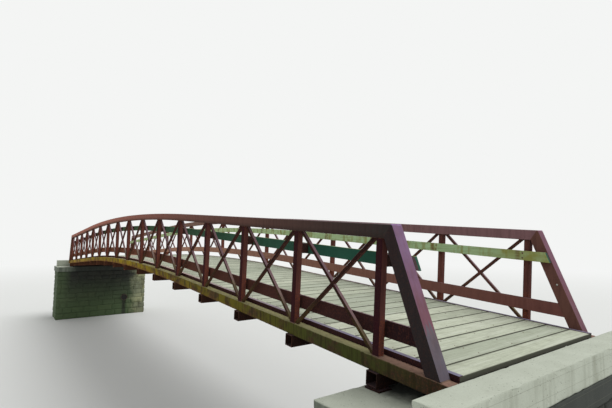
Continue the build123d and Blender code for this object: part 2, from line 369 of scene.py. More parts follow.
# Weep pipe. A fired clay pipe built into the left wall, which lets seepage out from behind it;
# it is choked with silt a little way in.
pipe_mouth = Vector((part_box("left_abutment_wall")[1].x, pipe_y, pipe_height))
pipe_radius = 0.175
pipe_bore = 0.155
pipe_rim = 0.003              # how far the rim is rounded off
pipe_proud = 0.045
pipe_inside = 0.05            # how far the clay reaches into the wall
silt_proud = 0.016            # the silt's face, past the face of the wall
silt_middle = 0.002           # radius of the ring that closes the silt
pipe_turns = 36


def skin(mesh, rings, loop=False):
    """A closed skin through rings of points; loop joins the last ring to the first."""
    rows = [[mesh.verts.new(point) for point in ring] for ring in rings]
    count = len(rows[0])
    pairs = list(zip(rows, rows[1:])) + ([(rows[-1], rows[0])] if loop else [])
    faces = []
    for a, b in pairs:
        for k in range(count):
            faces.append(mesh.faces.new((a[k], a[(k + 1) % count], b[(k + 1) % count], b[k])))
    if not loop:
        faces.append(mesh.faces.new(rows[0][::-1]))
        faces.append(mesh.faces.new(rows[-1]))
    return faces


def turned(profile, start, axis, turns, side=None):
    """Rings of points for a shape turned about an axis, from (radius, distance) pairs."""
    side = side or axis.orthogonal().normalized()     # where each ring starts
    other = axis.cross(side)
    angles = [math.tau * k / turns for k in range(turns)]
    outwards = [side * math.cos(a) + other * math.sin(a) for a in angles]
    return [[start + axis * distance + out * radius for out in outwards] for radius, distance in profile]


# Fired clay: a dull earth brown, mottled by the soot of the kiln. Inside no light reaches the
# silt, so it is painted nearly black as shade.
clay_mottle = 0.03
shade_blend = 0.004
silt_shade = (pipe_mouth.x + pipe_proud - shade_blend, pipe_mouth.x + silt_proud + shade_blend)
clay, tree, shader = new_material("clay_pipe_fired", Roughness=0.8)
where = add(tree, "TexCoord").outputs["Object"]
glaze = add(tree, "TexNoise", {"Vector": where, "Scale": 1 / clay_mottle, "Detail": 3.0})
earth = add(tree, "Mix", {0: glaze, 6: "#3a3026", 7: "#574738"}, data_type="RGBA")
shade_inside = stain(tree, earth, "#100f0c", add(tree, "SeparateXYZ", {0: where}), *silt_shade, 1.0)
feed(tree, shader.inputs["Base Color"], shade_inside)

pipe = bmesh.new()
pipe_profile = [
    (silt_middle, silt_proud), (pipe_bore, silt_proud), (pipe_bore, pipe_proud - pipe_rim),
    (pipe_bore + pipe_rim, pipe_proud), (pipe_radius - pipe_rim, pipe_proud),
    (pipe_radius, pipe_proud - pipe_rim), (pipe_radius, -pipe_inside), (silt_middle, -pipe_inside),
]
pipe_rings = turned(pipe_profile, pipe_mouth, Vector((1, 0, 0)), pipe_turns, side=Vector((0, 1, 0)))
skin(pipe, pipe_rings, loop=True)
put("weep_pipe", pipe, clay)

# Bridge seats and back walls. Concrete cast in timber forms: its edges are knocked off here
# and there, and the joints between the boards of the forms have left thin fins.
cast_cell = 0.070
form_board = 0.145            # width of a board of the forms
arris = 0.010                 # width of an edge that is worn round
arris_wear = 0.45             # depth of that wear, as a share of the width
arris_inner = 0.3             # where an edge gets one more row of points, as a share as well
chip = 0.016
chip_reach = 0.03             # how far from the edge a chip runs out
chip_waves = 7                # per metre
chip_from = 0.18              # of the noise: the higher, the fewer the chips
chip_steep = 3
cast_wave = 0.0015
cast_waves = 3
blocks_apart = 3.7            # how far apart the noise of two blocks is taken
seat_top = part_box("right_seat_cap")[1].z


def spread(low, high):
    """Positions from low to high, close together near both ends so that edges can be worn."""
    near = [arris * arris_inner, arris, chip_reach]
    inner = high - low - 2 * near[-1]
    cells = max(1, round(inner / cast_cell))
    middle = [low + near[-1] + inner * i / cells for i in range(cells + 1)]
    return [low, *(low + n for n in near[:-1]), *middle, *(high - n for n in near[-2::-1]), high]


def cast_block(node, seed):
    """A worn block in place of a plain CAD one; it never stands outside that."""
    low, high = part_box(node)
    grid = [spread(low[k], high[k]) for k in range(3)]
    count = [len(g) - 1 for g in grid]
    mesh = bmesh.new()
    found = {}

    def vertex(*index):
        """The point of the block at that place of the grid, pressed in by wear."""
        if index not in found:
            point = Vector([grid[m][index[m]] for m in range(3)])
            inward = Vector([(1 if p == 0 else -1 if p == n else 0) for p, n in zip(index, count)])
            to_edge = sorted(min(point[m] - low[m], high[m] - point[m]) for m in range(3))[1]
            worn = max(0.0, 1 - to_edge / arris) ** 2 * arris * arris_wear
            broken = noise.noise(point * chip_waves + Vector((seed, 0, 0))) - chip_from
            if broken > 0:
                worn += chip * min(1.0, chip_steep * broken) * max(0.0, 1 - to_edge / chip_reach)
            worn += cast_wave * (1 + noise.noise(point * cast_waves + Vector((0, seed, 0))))
            found[index] = mesh.verts.new(point + inward * worn)
        return found[index]

    for axis in range(3):
        a, b = [m for m in range(3) if m != axis]
        for end in (0, count[axis]):
            for i in range(count[a]):
                for j in range(count[b]):
                    quad = []
                    for da, db in ((0, 0), (1, 0), (1, 1), (0, 1)):
                        index = [0, 0, 0]
                        index[axis], index[a], index[b] = end, i + da, j + db
                        quad.append(vertex(*index))
                    mesh.faces.new(quad).smooth = True
    block = put(f"{node}_cast", mesh, concrete)
    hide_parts(node)


# Cast concrete is pale and gritty: sand and pores show where rain has washed its skin off,
# and dirt runs down its sides. Under the floor a seat is painted dark as the floor's shadow.
concrete_sand = 0.008         # real sand of 2 mm is too fine to show, so it is drawn coarser
pore_spacing = 0.045          # real pores are finer and closer together, drawn coarser as well
concrete_cloud = 0.30
concrete_run = 0.11
wet_side_span = (seat_top + 0.02, seat_top - 0.02)
seat_face_span = (seat_top + 0.015, seat_top + 0.003)
seat_shadow_reach = (1.95, 1.70)    # distances from the middle of the bridge
fin_span = (0.475, 0.495)     # from the middle of a form board, as shares of its width

concrete, tree, shader = new_material("concrete_cast", Roughness=0.88)
where = add(tree, "TexCoord").outputs["Object"]
y, height = add(tree, "SeparateXYZ", {0: where}).outputs[1:]
facing = add(tree, "SeparateXYZ", {0: add(tree, "NewGeometry").outputs["Normal"]})
stretched = add(tree, "Mapping", {"Vector": where, "Scale": (1.0, 1.0, 0.08)})
sand, cloud, runs = [
    add(tree, "TexNoise", {"Vector": at, "Scale": 1 / size, "Detail": detail, "Roughness": roughness})
    for at, size, detail, roughness in (
        (where, concrete_sand, 3.0, 0.7), (where, concrete_cloud, 6.0, 0.6),
        (stretched, concrete_run, 5.0, 0.5))
]
pores = add(tree, "TexVoronoi", {"Vector": where, "Scale": 1 / pore_spacing, "Randomness": 1.0})
grey = add(tree, "Mix", {0: cloud, 6: "#a3a899", 7: "#c2c8ba"}, data_type="RGBA")
gritty = stain(tree, grey, "#838676", sand, 0.50, 0.72, 0.45)
pore_amount = add(tree, "MapRange", {0: pores, 1: 0.16, 2: 0.07, 3: 0.0, 4: 0.8})
pitted = add(tree, "Mix", {0: pore_amount, 6: gritty, 7: "#54564a"}, data_type="RGBA")
side_face = add(tree, "MapRange", {0: facing.outputs["Z"], 1: 0.6, 2: 0.1})
stained = stain(tree, pitted, "#6d6e5a", runs, 0.50, 0.72, 0.45, only=side_face)
below_seat = add(tree, "MapRange", {0: height, 1: wet_side_span[0], 2: wet_side_span[1]})
wet_side = add(tree, "Math", {0: below_seat, 1: side_face}, operation="MULTIPLY")
wet_run = add(tree, "MapRange", {0: runs, 1: 0.25, 2: 0.55, 3: 0.55, 4: 0.9})
wet_amount = add(tree, "Math", {0: wet_run, 1: wet_side}, operation="MULTIPLY")
darkened = add(tree, "Mix", {0: wet_amount, 6: stained, 7: "#4a5347"}, data_type="RGBA")
off_middle = add(tree, "Math", {0: y}, operation="ABSOLUTE")
wandering_shadow_edge = add(tree, "Math", {0: cloud, 1: 0.5, 2: off_middle}, operation="MULTIPLY_ADD")
on_seat = add(tree, "MapRange", {0: height, 1: seat_face_span[0], 2: seat_face_span[1]})
# Painted shadow of the floor on the seats.
shaded = stain(tree, darkened, "#262a26", wandering_shadow_edge, *seat_shadow_reach, 0.92, only=on_seat)
boards = add(tree, "Math", {0: height, 1: 1 / form_board}, operation="MULTIPLY")
in_board = add(tree, "Math", {0: boards}, operation="FRACT")
from_board = add(tree, "Math", {0: in_board, 1: 0.5}, operation="SUBTRACT")
board_edge = add(tree, "Math", {0: from_board}, operation="ABSOLUTE")
fin = add(tree, "MapRange", {0: board_edge, 1: fin_span[0], 2: fin_span[1]})
fin_side = add(tree, "Math", {0: fin, 1: side_face}, operation="MULTIPLY")
feed(tree, shader.inputs["Base Color"], stain(tree, shaded, "#666757", fin_side, 0.0, 1.0, 0.35))
pitted_relief = add(tree, "Math", {0: sand, 1: pore_amount}, operation="SUBTRACT")
relief = add(tree, "Math", {0: fin_side, 1: 0.8, 2: pitted_relief}, operation="MULTIPLY_ADD")
feed(tree, shader.inputs["Normal"], add(tree, "Bump", {"Height": relief, "Strength": 0.6, "Distance": 0.003}))

for number, node in enumerate(("right_seat_cap", "left_seat_cap", "right_back_wall", "left_back_wall")):
    cast_block(node, blocks_apart * number)

# Bearings. A steel plate grouted on the seat under each chord, and a bevelled sole plate,
# welded to the end beam above, that slides on it.
plate_corner = 0.002

# The line that chords, toe boards, rails and floor follow is the chords' underside: a straight
# ramp at each end and a flat arc between. The bays on it are measured level.
bay = 1.524
bays = 15
ramp_slope = math.radians(3.65)
arch_radius = 92.2
chord_past_upright = 0.890
line_foot = round(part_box("front_bottom_chord")[0].z, 4)   # the chords' underside at the bridge's ends
last_upright = bays * bay / 2
line_end = last_upright + chord_past_upright * math.cos(ramp_slope)
arc_reach = arch_radius * math.sin(ramp_slope)
stations = [last_upright - i * bay for i in range(bays + 1)]

rust_cloud = 0.22
rust_pits = 0.018             # real pits of 1 mm are too fine to show, so they are drawn coarser
rain_run = 0.045
right_end_shade_span = (12.0, -3.0)  # where along the bridge the steel turns from the painted shade of the right end to its lighter colours
same_point = 0.00005          # corners nearer than this are joined before edges are rounded
sharp_turn = math.radians(40)
round_steps = 3


def line_at(x):
    """Height of the chords' underside at level distance x, and its slope."""
    if abs(x) > arc_reach:
        return line_foot + math.tan(ramp_slope) * (line_end - abs(x)), math.copysign(ramp_slope, x)
    rise = math.tan(ramp_slope) * (line_end - arc_reach) - arch_radius * math.cos(ramp_slope)
    return line_foot + rise + math.sqrt(arch_radius**2 - x**2), math.asin(x / arch_radius)


def patina(name, walkway, outer_in_shade, upper="#83717a", top_dust_and_sky_amount=0.65, rust=0.25, dirt=0.5):
    """The skin of weathering steel left bare: porous rust, rough and with a lower specular
    level than a closed surface. It gives a matt brown, redder towards the walkway, with the
    outer sides painted darker as shade and the tops dusty and painted pale mauve as sky light.
    The colours of both sides are pairs, at the right end and left of mid-span; where they
    differ, the right end's are painted darker as the shade that falls there. With the material
    come the outputs and inputs that further stains build on."""
    material, tree, shader = new_material(name, Roughness=0.86, Specular_IOR_Level=0.10)
    where = add(tree, "TexCoord").outputs["Object"]
    x, y, z = add(tree, "SeparateXYZ", {0: where}).outputs
    facing = add(tree, "SeparateXYZ", {0: add(tree, "NewGeometry").outputs["Normal"]})
    hand = add(tree, "Math", {0: y}, operation="SIGN")
    outwards = add(tree, "Math", {0: facing.outputs["Y"], 1: hand}, operation="MULTIPLY")
    outer_side = add(tree, "MapRange", {0: outwards, 1: -0.2, 2: 0.8})
    # Height above the line of the chords, whose arc is taken as a parabola.
    along = add(tree, "Math", {0: x}, operation="ABSOLUTE")
    in_arc = add(tree, "Math", {0: along, 1: arc_reach}, operation="MINIMUM")
    squared = add(tree, "Math", {0: in_arc, 1: in_arc}, operation="MULTIPLY")
    past = add(tree, "Math", {0: along, 1: in_arc}, operation="SUBTRACT")
    fall = add(tree, "Math", {0: past, 1: math.tan(ramp_slope)}, operation="MULTIPLY")
    sag = add(tree, "Math", {0: squared, 1: 0.5 / arch_radius, 2: fall}, operation="MULTIPLY_ADD")
    lifted = add(tree, "Math", {0: z, 1: sag}, operation="ADD")
    above = add(tree, "Math", {0: lifted, 1: line_at(0)[0]}, operation="SUBTRACT")
    stretched = add(tree, "Mapping", {"Vector": where, "Scale": (1.0, 1.0, 0.10)})
    blotch, pits, runs = [
        add(tree, "TexNoise", {"Vector": at, "Scale": 1 / size, "Detail": detail, "Roughness": roughness})
        for at, size, detail, roughness in (
            (where, rust_cloud, 6.0, 0.62), (where, rust_pits, 4.0, 0.7), (stretched, rain_run, 4.0, 0.6))
    ]
    # Darker colours at the right end and on the outer sides: painted shade.
    inner, outer_in_shade = [stain(tree, right, left, x, *right_end_shade_span, 1.0) for right, left in (walkway, outer_in_shade)]
    brown = add(tree, "Mix", {0: outer_side, 6: inner, 7: outer_in_shade}, data_type="RGBA")
    streaked = stain(tree, brown, "#241416", runs, 0.42, 0.70, dirt)
    flecked = stain(tree, streaked, "#74402f", pits, 0.48, 0.72, rust * 1.6)
    # Upward faces take dust, and a pale colour painted as sky light on them.
    upwards = add(tree, "MapRange", {0: facing.outputs["Z"], 1: 0.15, 2: 0.75})
    settled = add(tree, "MapRange", {0: blotch, 1: 0.25, 2: 0.6, 3: 0.6 * top_dust_and_sky_amount, 4: top_dust_and_sky_amount})
    dust_and_sky = add(tree, "Math", {0: upwards, 1: settled}, operation="MULTIPLY")
    dusted_and_lit = add(tree, "Mix", {0: dust_and_sky, 6: flecked, 7: upper}, data_type="RGBA")
    feed(tree, shader.inputs["Base Color"], dusted_and_lit)
    relief = add(tree, "Bump", {"Height": pits, "Strength": 0.5, "Distance": 0.0015})
    feed(tree, shader.inputs["Normal"], relief)
    return SimpleNamespace(
        material=material, tree=tree, x=x, y=y, z=z, along=along, above=above, outer_side=outer_side,
        upwards=upwards, blotch=blotch, pits=pits, runs=runs, colour=dusted_and_lit, upper=dusted_and_lit.inputs[7],
        base=shader.inputs["Base Color"])


def dress(node, material, corner=0.0):
    """Gives a CAD piece its finish and rounds its long edges as rolling or sawing does."""
    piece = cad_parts[node]
    for slot in piece.material_slots:
        slot.material = material
    if corner:
        weld = piece.modifiers.new("joined", "WELD")
        weld.merge_threshold = same_point
        edge = piece.modifiers.new("rounded", "BEVEL")
        edge.width = corner
        edge.segments = round_steps
        edge.limit_method = "ANGLE"
        edge.angle_limit = sharp_turn
        smooth = piece.modifiers.new("faces", "WEIGHTED_NORMAL")
        smooth.keep_sharp = False


# Flame cut plate: no sun gets at it, so it is painted an even, very dark brown as shade.
bearing_shade_brown = ("#1f1716", "#1f1716")
bearing_steel = patina("steel_plate_flame_cut", bearing_shade_brown, bearing_shade_brown, top_dust_and_sky_amount=0.2, rust=0.25)
for end in ("right", "left"):
    dress(f"{end}_bearings", bearing_steel.material, plate_corner)

# Floor beams and wind bracing. Square tubes, the beams open at both ends and welded under the
# chords; the braces run corner to corner between them.
beam_corner = 0.003
brace_corner = 0.006
# Tube in the shade of the floor, painted nearly black as that shade, but for the ends of the
# beams, whose outer faces are painted tan towards the left as sunlit.
beam_steel = patina("steel_tube_rolled_in_shade", ("#1d1413", "#241715"), ("#261a18", "#a06a4a"),
                    top_dust_and_sky_amount=0.15, rust=0.15)
dress("floor_beams", beam_steel.material, beam_corner)
dress("wind_braces", beam_steel.material, brace_corner)

# Bottom chords. Square tube bent to the line of the bridge, with the floor beams welded on
# below and the uprights, diagonals and end posts on top.
chord_corner = 0.010
sunlit_span = (10.5, 1.0)     # along the bridge
yellow_span = (-4.5, -9.0)
bare_span = (11.2, 12.1)      # distances from mid-span
damp_span = (11.36, 11.48)
chord_low_edge = (0.060, 0.020)
# A film of algae grows on the outer side between the drips, painted dull green and dark at the
# right as shade, and yellow as sunlit. Dust, with painted sky light, lies on the top, which past
# the last uprights stays damp and has rusted.
chord_steel = patina("steel_tube_rolled_mossy", ("#5d3835", "#7a4a3c"), ("#33261f", "#5a4028"),
                     top_dust_and_sky_amount=0.95, rust=0.35)
tree = chord_steel.tree
sunlit = add(tree, "MapRange", {0: chord_steel.x, 1: sunlit_span[0], 2: sunlit_span[1]})
green = add(tree, "Mix", {0: sunlit, 6: "#3c411b", 7: "#9c840e"}, data_type="RGBA")
yellow = stain(tree, green, "#b09238", chord_steel.x, *yellow_span, 0.9)
film = add(tree, "MapRange", {0: chord_steel.blotch, 1: 0.40, 2: 0.56, 3: 0.15, 4: 1.0})
bare_end = add(tree, "MapRange", {0: chord_steel.along, 1: bare_span[0], 2: bare_span[1], 3: 1.0, 4: 0.25})
kept = add(tree, "Math", {0: film, 1: bare_end}, operation="MULTIPLY")
grown = add(tree, "Math", {0: kept, 1: chord_steel.outer_side}, operation="MULTIPLY")
mossy = add(tree, "Mix", {0: grown, 6: chord_steel.colour, 7: yellow}, data_type="RGBA")
dripped = stain(tree, mossy, "#2b2712", chord_steel.runs, 0.48, 0.60, 0.70, only=chord_steel.outer_side)
rusty_edge = stain(tree, dripped, "#75452a", chord_steel.above, *chord_low_edge, 0.5, only=sunlit)
feed(tree, chord_steel.base, rusty_edge)
# Dust on the top, with pale sky light painted in.
dust_and_sky = add(tree, "Mix", {0: chord_steel.blotch, 6: "#7d8258", 7: "#ada47c"}, data_type="RGBA")
feed(tree, chord_steel.upper, stain(tree, dust_and_sky, "#8f7264", chord_steel.along, *damp_span, 1.0))
for side in ("front", "rear"):
    dress(f"{side}_bottom_chord", chord_steel.material, chord_corner)

# Uprights. Sixteen square tubes in each truss, which stand square to the chords and are cut to
# their line and welded to them all round.
web_corner = 0.007
board_rust = (0.62, 0.50)     # heights above the chords' underside
# Rolled tube: red brown inside, where orange rust blooms from the head of the toe board down,
# and painted dark maroon outside as shade.
web_steel = patina("steel_tube_rolled", ("#613b36", "#7d4c40"), ("#280b14", "#3e100a"), rust=0.13)
tree = web_steel.tree
at_board = add(tree, "MapRange", {0: web_steel.above, 1: board_rust[0], 2: board_rust[1]})
walkway_side = add(tree, "MapRange", {0: web_steel.outer_side, 1: 0.5, 2: 0.0})
behind_board = add(tree, "Math", {0: at_board, 1: walkway_side}, operation="MULTIPLY")
bloomed = stain(tree, web_steel.colour, "#8f4a2c", web_steel.pits, 0.46, 0.60, 0.8, only=behind_board)
feed(tree, web_steel.base, bloomed)
for side in ("front", "rear"):
    dress(f"{side}_uprights", web_steel.material, web_corner)

# Diagonals. Thin square tubes that cross in every bay, welded to the chords beside the
# uprights and to each other where they cross.
bar_corner = 0.005
film_heights = (0.75, 0.16)   # above the chords' underside
# Rolled bar: brown, painted dark brown outside as shade and mauve on top as sky light, with an
# olive film of algae that creeps up the upper faces.
bar_steel = patina("steel_bar_rolled", ("#54352f", "#6d463a"), ("#1d0f0c", "#3c2115"), upper="#8a7078",
                   top_dust_and_sky_amount=0.9)
tree = bar_steel.tree
patchy = add(tree, "MapRange", {0: bar_steel.blotch, 1: 0.38, 2: 0.62, 3: 0.15, 4: 1.0})
lying = add(tree, "MapRange", {0: bar_steel.upwards, 1: 0.0, 2: 1.0, 3: 0.25, 4: 1.0})
film = add(tree, "Math", {0: patchy, 1: lying}, operation="MULTIPLY")
olive = stain(tree, bar_steel.colour, "#6b6829", bar_steel.above, *film_heights, 0.95, only=film)
feed(tree, bar_steel.base, olive)
for side in ("front", "rear"):
    dress(f"{side}_diagonals", bar_steel.material, bar_corner)

# Top chords. The same tube as the bottom chords, bent alike and mitred to the end posts; the
# heads of the uprights and diagonals are welded to it.
truss_depth = 1.538
chord_size = 0.152
top_chord_foot = truss_depth - chord_size
drip_edge = (top_chord_foot + 0.069, top_chord_foot + 0.009)
# Rolled tube in the open: a dusty mauve brown, with dirt along the lower edge of the outer
# side, where drips hang. The outer side is painted dark as shade, nearly black at the right end.
head_steel = patina("steel_tube_rolled_dusty", ("#7d5d62", "#8d6e62"), ("#292b2a", "#aa6e5f"),
                    upper="#8a787c", top_dust_and_sky_amount=0.8, rust=0.10, dirt=0.3)
tree = head_steel.tree
dripped = stain(tree, head_steel.colour, "#2c211c", head_steel.above, *drip_edge, 0.6,
                only=head_steel.outer_side)
feed(tree, head_steel.base, dripped)
for side in ("front", "rear"):
    dress(f"{side}_top_chord", head_steel.material, chord_corner)

# End posts. Sloping lengths of chord tube, mitred to the top chord and cut to stand on the
# bottom chord.
post_lean = math.radians(24.6)
post_streak = 0.030
lilac_to_pink = (1.20, 0.70)  # heights above the chords' underside
slate_span = (0.64, 0.56)
ragged_by = 0.14              # how far streaks carry one colour into the next
# Rain down their outer edges has bleached them lilac at the top and pink below, with red runs;
# on the upward faces these pale colours are partly painted sky light. The front ones are slate
# grey at the foot, the rear ones pink nearly all the way up. The outer sides are painted dark as shade.
post_steel = patina("steel_tube_rolled_bleached", ("#66463f", "#74503f"), ("#2a2526", "#6e4436"),
                    upper="#9a86a2", top_dust_and_sky_amount=1.0, rust=0.08, dirt=0.35)
tree = post_steel.tree
shifted = add(tree, "Math", {0: post_steel.z, 1: math.tan(ramp_slope + post_lean), 2: post_steel.along},
              operation="MULTIPLY_ADD")
shrunk = add(tree, "Math", {0: post_steel.z, 1: 0.08}, operation="MULTIPLY")
down_post = add(tree, "CombineXYZ", {0: shifted, 1: post_steel.y, 2: shrunk})
streaks = add(tree, "TexNoise", {"Vector": down_post, "Scale": 1 / post_streak, "Detail": 4.0,
                                 "Roughness": 0.6})
ragged = add(tree, "MapRange", {0: streaks, 1: 0.3, 2: 0.7, 3: -ragged_by, 4: ragged_by})
height = add(tree, "Math", {0: post_steel.above, 1: ragged}, operation="ADD")
pink_amount = add(tree, "MapRange", {0: height, 1: lilac_to_pink[0], 2: lilac_to_pink[1]})
low_part = add(tree, "MapRange", {0: height, 1: slate_span[0], 2: slate_span[1]})
front_one = add(tree, "MapRange", {0: post_steel.y, 1: 0.1, 2: -0.1, 3: 0.15, 4: 1.0})
slate_amount = add(tree, "Math", {0: low_part, 1: front_one}, operation="MULTIPLY")
rear_one = add(tree, "Math", {0: 1.0, 1: front_one}, operation="SUBTRACT")
pinkest = add(tree, "Math", {0: pink_amount, 1: rear_one}, operation="MAXIMUM")
# Pale colours of the upward faces: bleaching, partly painted sky light.
bleached = add(tree, "Mix", {0: pinkest, 6: "#ad90c6", 7: "#9a6c86"}, data_type="RGBA")
slated = add(tree, "Mix", {0: slate_amount, 6: bleached, 7: "#74849a"}, data_type="RGBA")
feed(tree, post_steel.upper, slated)
not_slate = add(tree, "Math", {0: 1.0, 1: slate_amount}, operation="SUBTRACT")
red_part = add(tree, "Math", {0: not_slate, 1: post_steel.upwards}, operation="MULTIPLY")
reddened = stain(tree, post_steel.colour, "#7c4350", streaks, 0.54, 0.66, 0.65, only=red_part)
feed(tree, post_steel.base, reddened)
for side in ("front", "rear"):
    for end in ("right", "left"):
        dress(f"{side}_{end}_end_post", post_steel.material, chord_corner)

# Welds. A fillet of weld metal runs round the foot and the head of every upright and
# diagonal and across the feet of the end posts, and the mitres at the top are filled flush.
half_clear = 1.516            # middle of the bridge to the inner faces of the chords
upright_size = 0.089
upright_setback = 0.012       # from the outer faces of the chords
web_middle = half_clear + chord_size - upright_setback - upright_size / 2
diagonal_size = 0.044
diagonal_foot = 0.004
diagonal_head = 0.052
post_depth = 0.152
post_gap = 0.032
weld_leg = 0.008
weld_spread = (0.8, 1.15)     # of that leg, from ripple to ripple
weld_step = 0.022             # between two ripples
weld_root = 0.001             # how far the bead reaches into the tubes
weld_bulge = 0.60             # middle of the bead's face, as a share of its leg
weld_stop = 0.008             # from the end of a straight weld to the edge of the post
mitre_groove = chord_corner * 1.05
mitre_reach = mitre_groove * 1.3
mitre_sunk = 0.0002           # edges of the weld metal, below the faces of the tubes
mitre_proud = 0.0003
across = Vector((0, 1, 0))


def on_line(x, above, y=0.0):
    """Point at level distance x and at that height square to the chords' underside."""
    height, slope = line_at(x)
    return Vector((x + above * math.sin(slope), y, height + above * math.cos(slope)))


def square_to_line(x):
    """The direction square to the chords at level distance x."""
    slope = line_at(x)[1]
    return Vector((math.sin(slope), 0, math.cos(slope)))


def past_upright(t):
    """Level distance of a place t along the slope past the last upright."""
    return last_upright + t * math.cos(ramp_slope)


def fillet(mesh, path, rise, loop, chance):
    """Weld metal along a path of places and outward directions on a surface; the welded
    tube leaves that surface in the direction of rise."""
    rings = []
    for place, out in path:
        leg = weld_leg * chance.uniform(*weld_spread)
        rings.append([place - out * weld_root - rise * weld_root, place + out * leg - rise * weld_root,
                      place + (out + rise) * leg * weld_bulge, place + rise * leg - out * weld_root])
    for number, face in enumerate(skin(mesh, rings, loop)):
        face.smooth = number % 4 in (1, 2)


def stepped(path):
    """The same path with places at most a weld step apart."""
    finer = []
    for (a, out), (b, next_out) in zip(path, path[1:]):
        steps = max(1, round((b - a).length / weld_step))
        finer += [(a.lerp(b, k / steps), out.lerp(next_out, k / steps).normalized()) for k in range(steps)]
    return finer + [path[-1]]


def round_corners(middle, first, second, corner):
    """Path round a rectangle with rounded corners, from its half sides as vectors."""
    a, b = first.length, second.length
    u, v = first / a, second / b
    path = []
    for turn, (su, sv) in enumerate(((1, 1), (-1, 1), (-1, -1), (1, -1))):
        centre = middle + u * su * (a - corner) + v * sv * (b - corner)
        for k in range(4):
            angle = math.pi / 2 * (turn + k / 3)
            out = u * math.cos(angle) + v * math.sin(angle)
            path.append((centre + out * corner, out))
    return path


def welds(side, hand):
    """The fillets of one truss; hand is -1 for the front one and 1 for the rear one."""
    mesh = bmesh.new()
    chance = random.Random(40 + hand)

    def tube_weld(point, size, x, rise, stretch, corner):
        """The fillet round one end of a tube that stands on a chord at level distance x."""
        slope = line_at(x)[1]
        along = Vector((math.cos(slope), 0, -math.sin(slope)))
        path = round_corners(point, along * size / 2 * stretch, across * size / 2, corner)
        fillet(mesh, stepped(path + path[:1])[:-1], rise, True, chance)

    for x in stations:
        for above, turn in ((chord_size, 1), (top_chord_foot, -1)):
            point = on_line(x, above, hand * web_middle)
            tube_weld(point, upright_size, x, square_to_line(x) * turn, 1.0, web_corner)
    foot = upright_size / 2 + diagonal_foot
    head = upright_size / 2 + diagonal_head
    for right, left in zip(stations, stations[1:]):
        for low, high in ((left + foot, right - head), (right - foot, left + head)):
            start = on_line(low, chord_size, hand * web_middle)
            stop = on_line(high, top_chord_foot, hand * web_middle)
            leaning = (stop - start).normalized()
            for x, point, rise in ((low, start, leaning), (high, stop, -leaning)):
                stretch = 1 / abs(leaning.dot(square_to_line(x)))
                tube_weld(point, diagonal_size, x, rise, stretch, bar_corner)
    drop = top_chord_foot - chord_size
    inner_run = upright_size / 2 + post_gap + drop * math.tan(post_lean)
    inner_foot = past_upright(inner_run)
    outer_foot = past_upright(inner_run + post_depth / math.cos(post_lean))
    near, away = hand * (half_clear + weld_stop), hand * (half_clear + chord_size - weld_stop)
    for end in (-1, 1):
        rise = Vector((-end * math.sin(post_lean - ramp_slope), 0, math.cos(post_lean - ramp_slope)))
        for x, way in ((inner_foot, -end), (outer_foot, end)):
            out = Vector((way * math.cos(ramp_slope), 0, -way * end * math.sin(ramp_slope)))
            path = [(on_line(end * x, chord_size, y), out) for y in (near, away)]
            fillet(mesh, stepped(path), rise, False, chance)
    put(f"{side}_welds", mesh, weld_steel.material)


def mitre_welds(side, hand):
    """Weld metal that fills the grooves of the mitres at both ends of one top chord. It
    follows the fold between chord and post, so that it lies flush with both."""
    mesh = bmesh.new()
    inner_run = upright_size / 2 + post_gap
    outer_run = inner_run + post_depth / math.cos(post_lean) - chord_size * math.tan(post_lean)
    for end in (-1, 1):
        low = on_line(end * past_upright(inner_run), top_chord_foot)
        high = on_line(end * past_upright(outer_run), truss_depth)
        up = (high - low) / 2
        down_post = Vector((end * math.sin(post_lean - ramp_slope), 0, -math.cos(post_lean - ramp_slope)))
        down_chord = Vector((-end * math.cos(ramp_slope), 0, math.sin(ramp_slope)))
        middle = (low + high) / 2 + across * hand * (half_clear + chord_size / 2)
        rings = []
        for place, out in round_corners(middle, up, across * chord_size / 2, mitre_groove):
            edges = [place + way * mitre_reach - out * mitre_sunk for way in (down_post, down_chord)]
            rings.append([place - out * mitre_groove, edges[0], place + out * mitre_proud, edges[1]])
        for number, face in enumerate(skin(mesh, rings, loop=True)):
            face.smooth = number % 4 in (1, 2)
    put(f"{side}_mitre_welds", mesh, post_steel.material)


# A weld bead of the same steel: its rippled skin holds more rust, so it is redder and duller
# than the tubes.
weld_steel = patina("steel_weld_bead", ("#54332d", "#6d463a"), ("#2b1714", "#53301f"), upper="#7c6a5c",
                    top_dust_and_sky_amount=0.7, rust=0.6)
for side, hand in (("front", -1), ("rear", 1)):
    welds(side, hand)
    mitre_welds(side, hand)

# Drain plugs. A domed, zinc-plated steel bolt, screwed into the inner side of each end post,
# closes the hole through which the tube was drained.
plug_x = 11.883
plug_above = 0.779
plug_profile = [(0.0130, -0.002), (0.0130, 0.003), (0.0105, 0.006), (0.0040, 0.007)]
plug_turns = 20
zinc_bloom = 0.006
# Years of rain have dulled the zinc to a pale grey with a white bloom, half metal half powder.
zinc, tree, shader = new_material("zinc_plated_steel_dulled", Metallic=0.4, Roughness=0.6)
where = add(tree, "TexCoord").outputs["Object"]
bloom = add(tree, "TexNoise", {"Vector": where, "Scale": 1 / zinc_bloom, "Detail": 3.0})
dull = add(tree, "Mix", {0: bloom, 6: "#8f918c", 7: "#c2c4bd"}, data_type="RGBA")
feed(tree, shader.inputs["Base Color"], dull)
plugs = bmesh.new()
for hand in (-1, 1):
    for end in (-1, 1):
        seat = on_line(end * plug_x, plug_above, hand * half_clear)
        skin(plugs, turned(plug_profile, seat, Vector((0, -hand, 0)), plug_turns))
put("drain_plugs", plugs, zinc)

# Toe boards and packers. The toe board is a flat steel band, welded to short steel blocks on
# the uprights; blocks like these carry the rail.
band_corner = 0.003
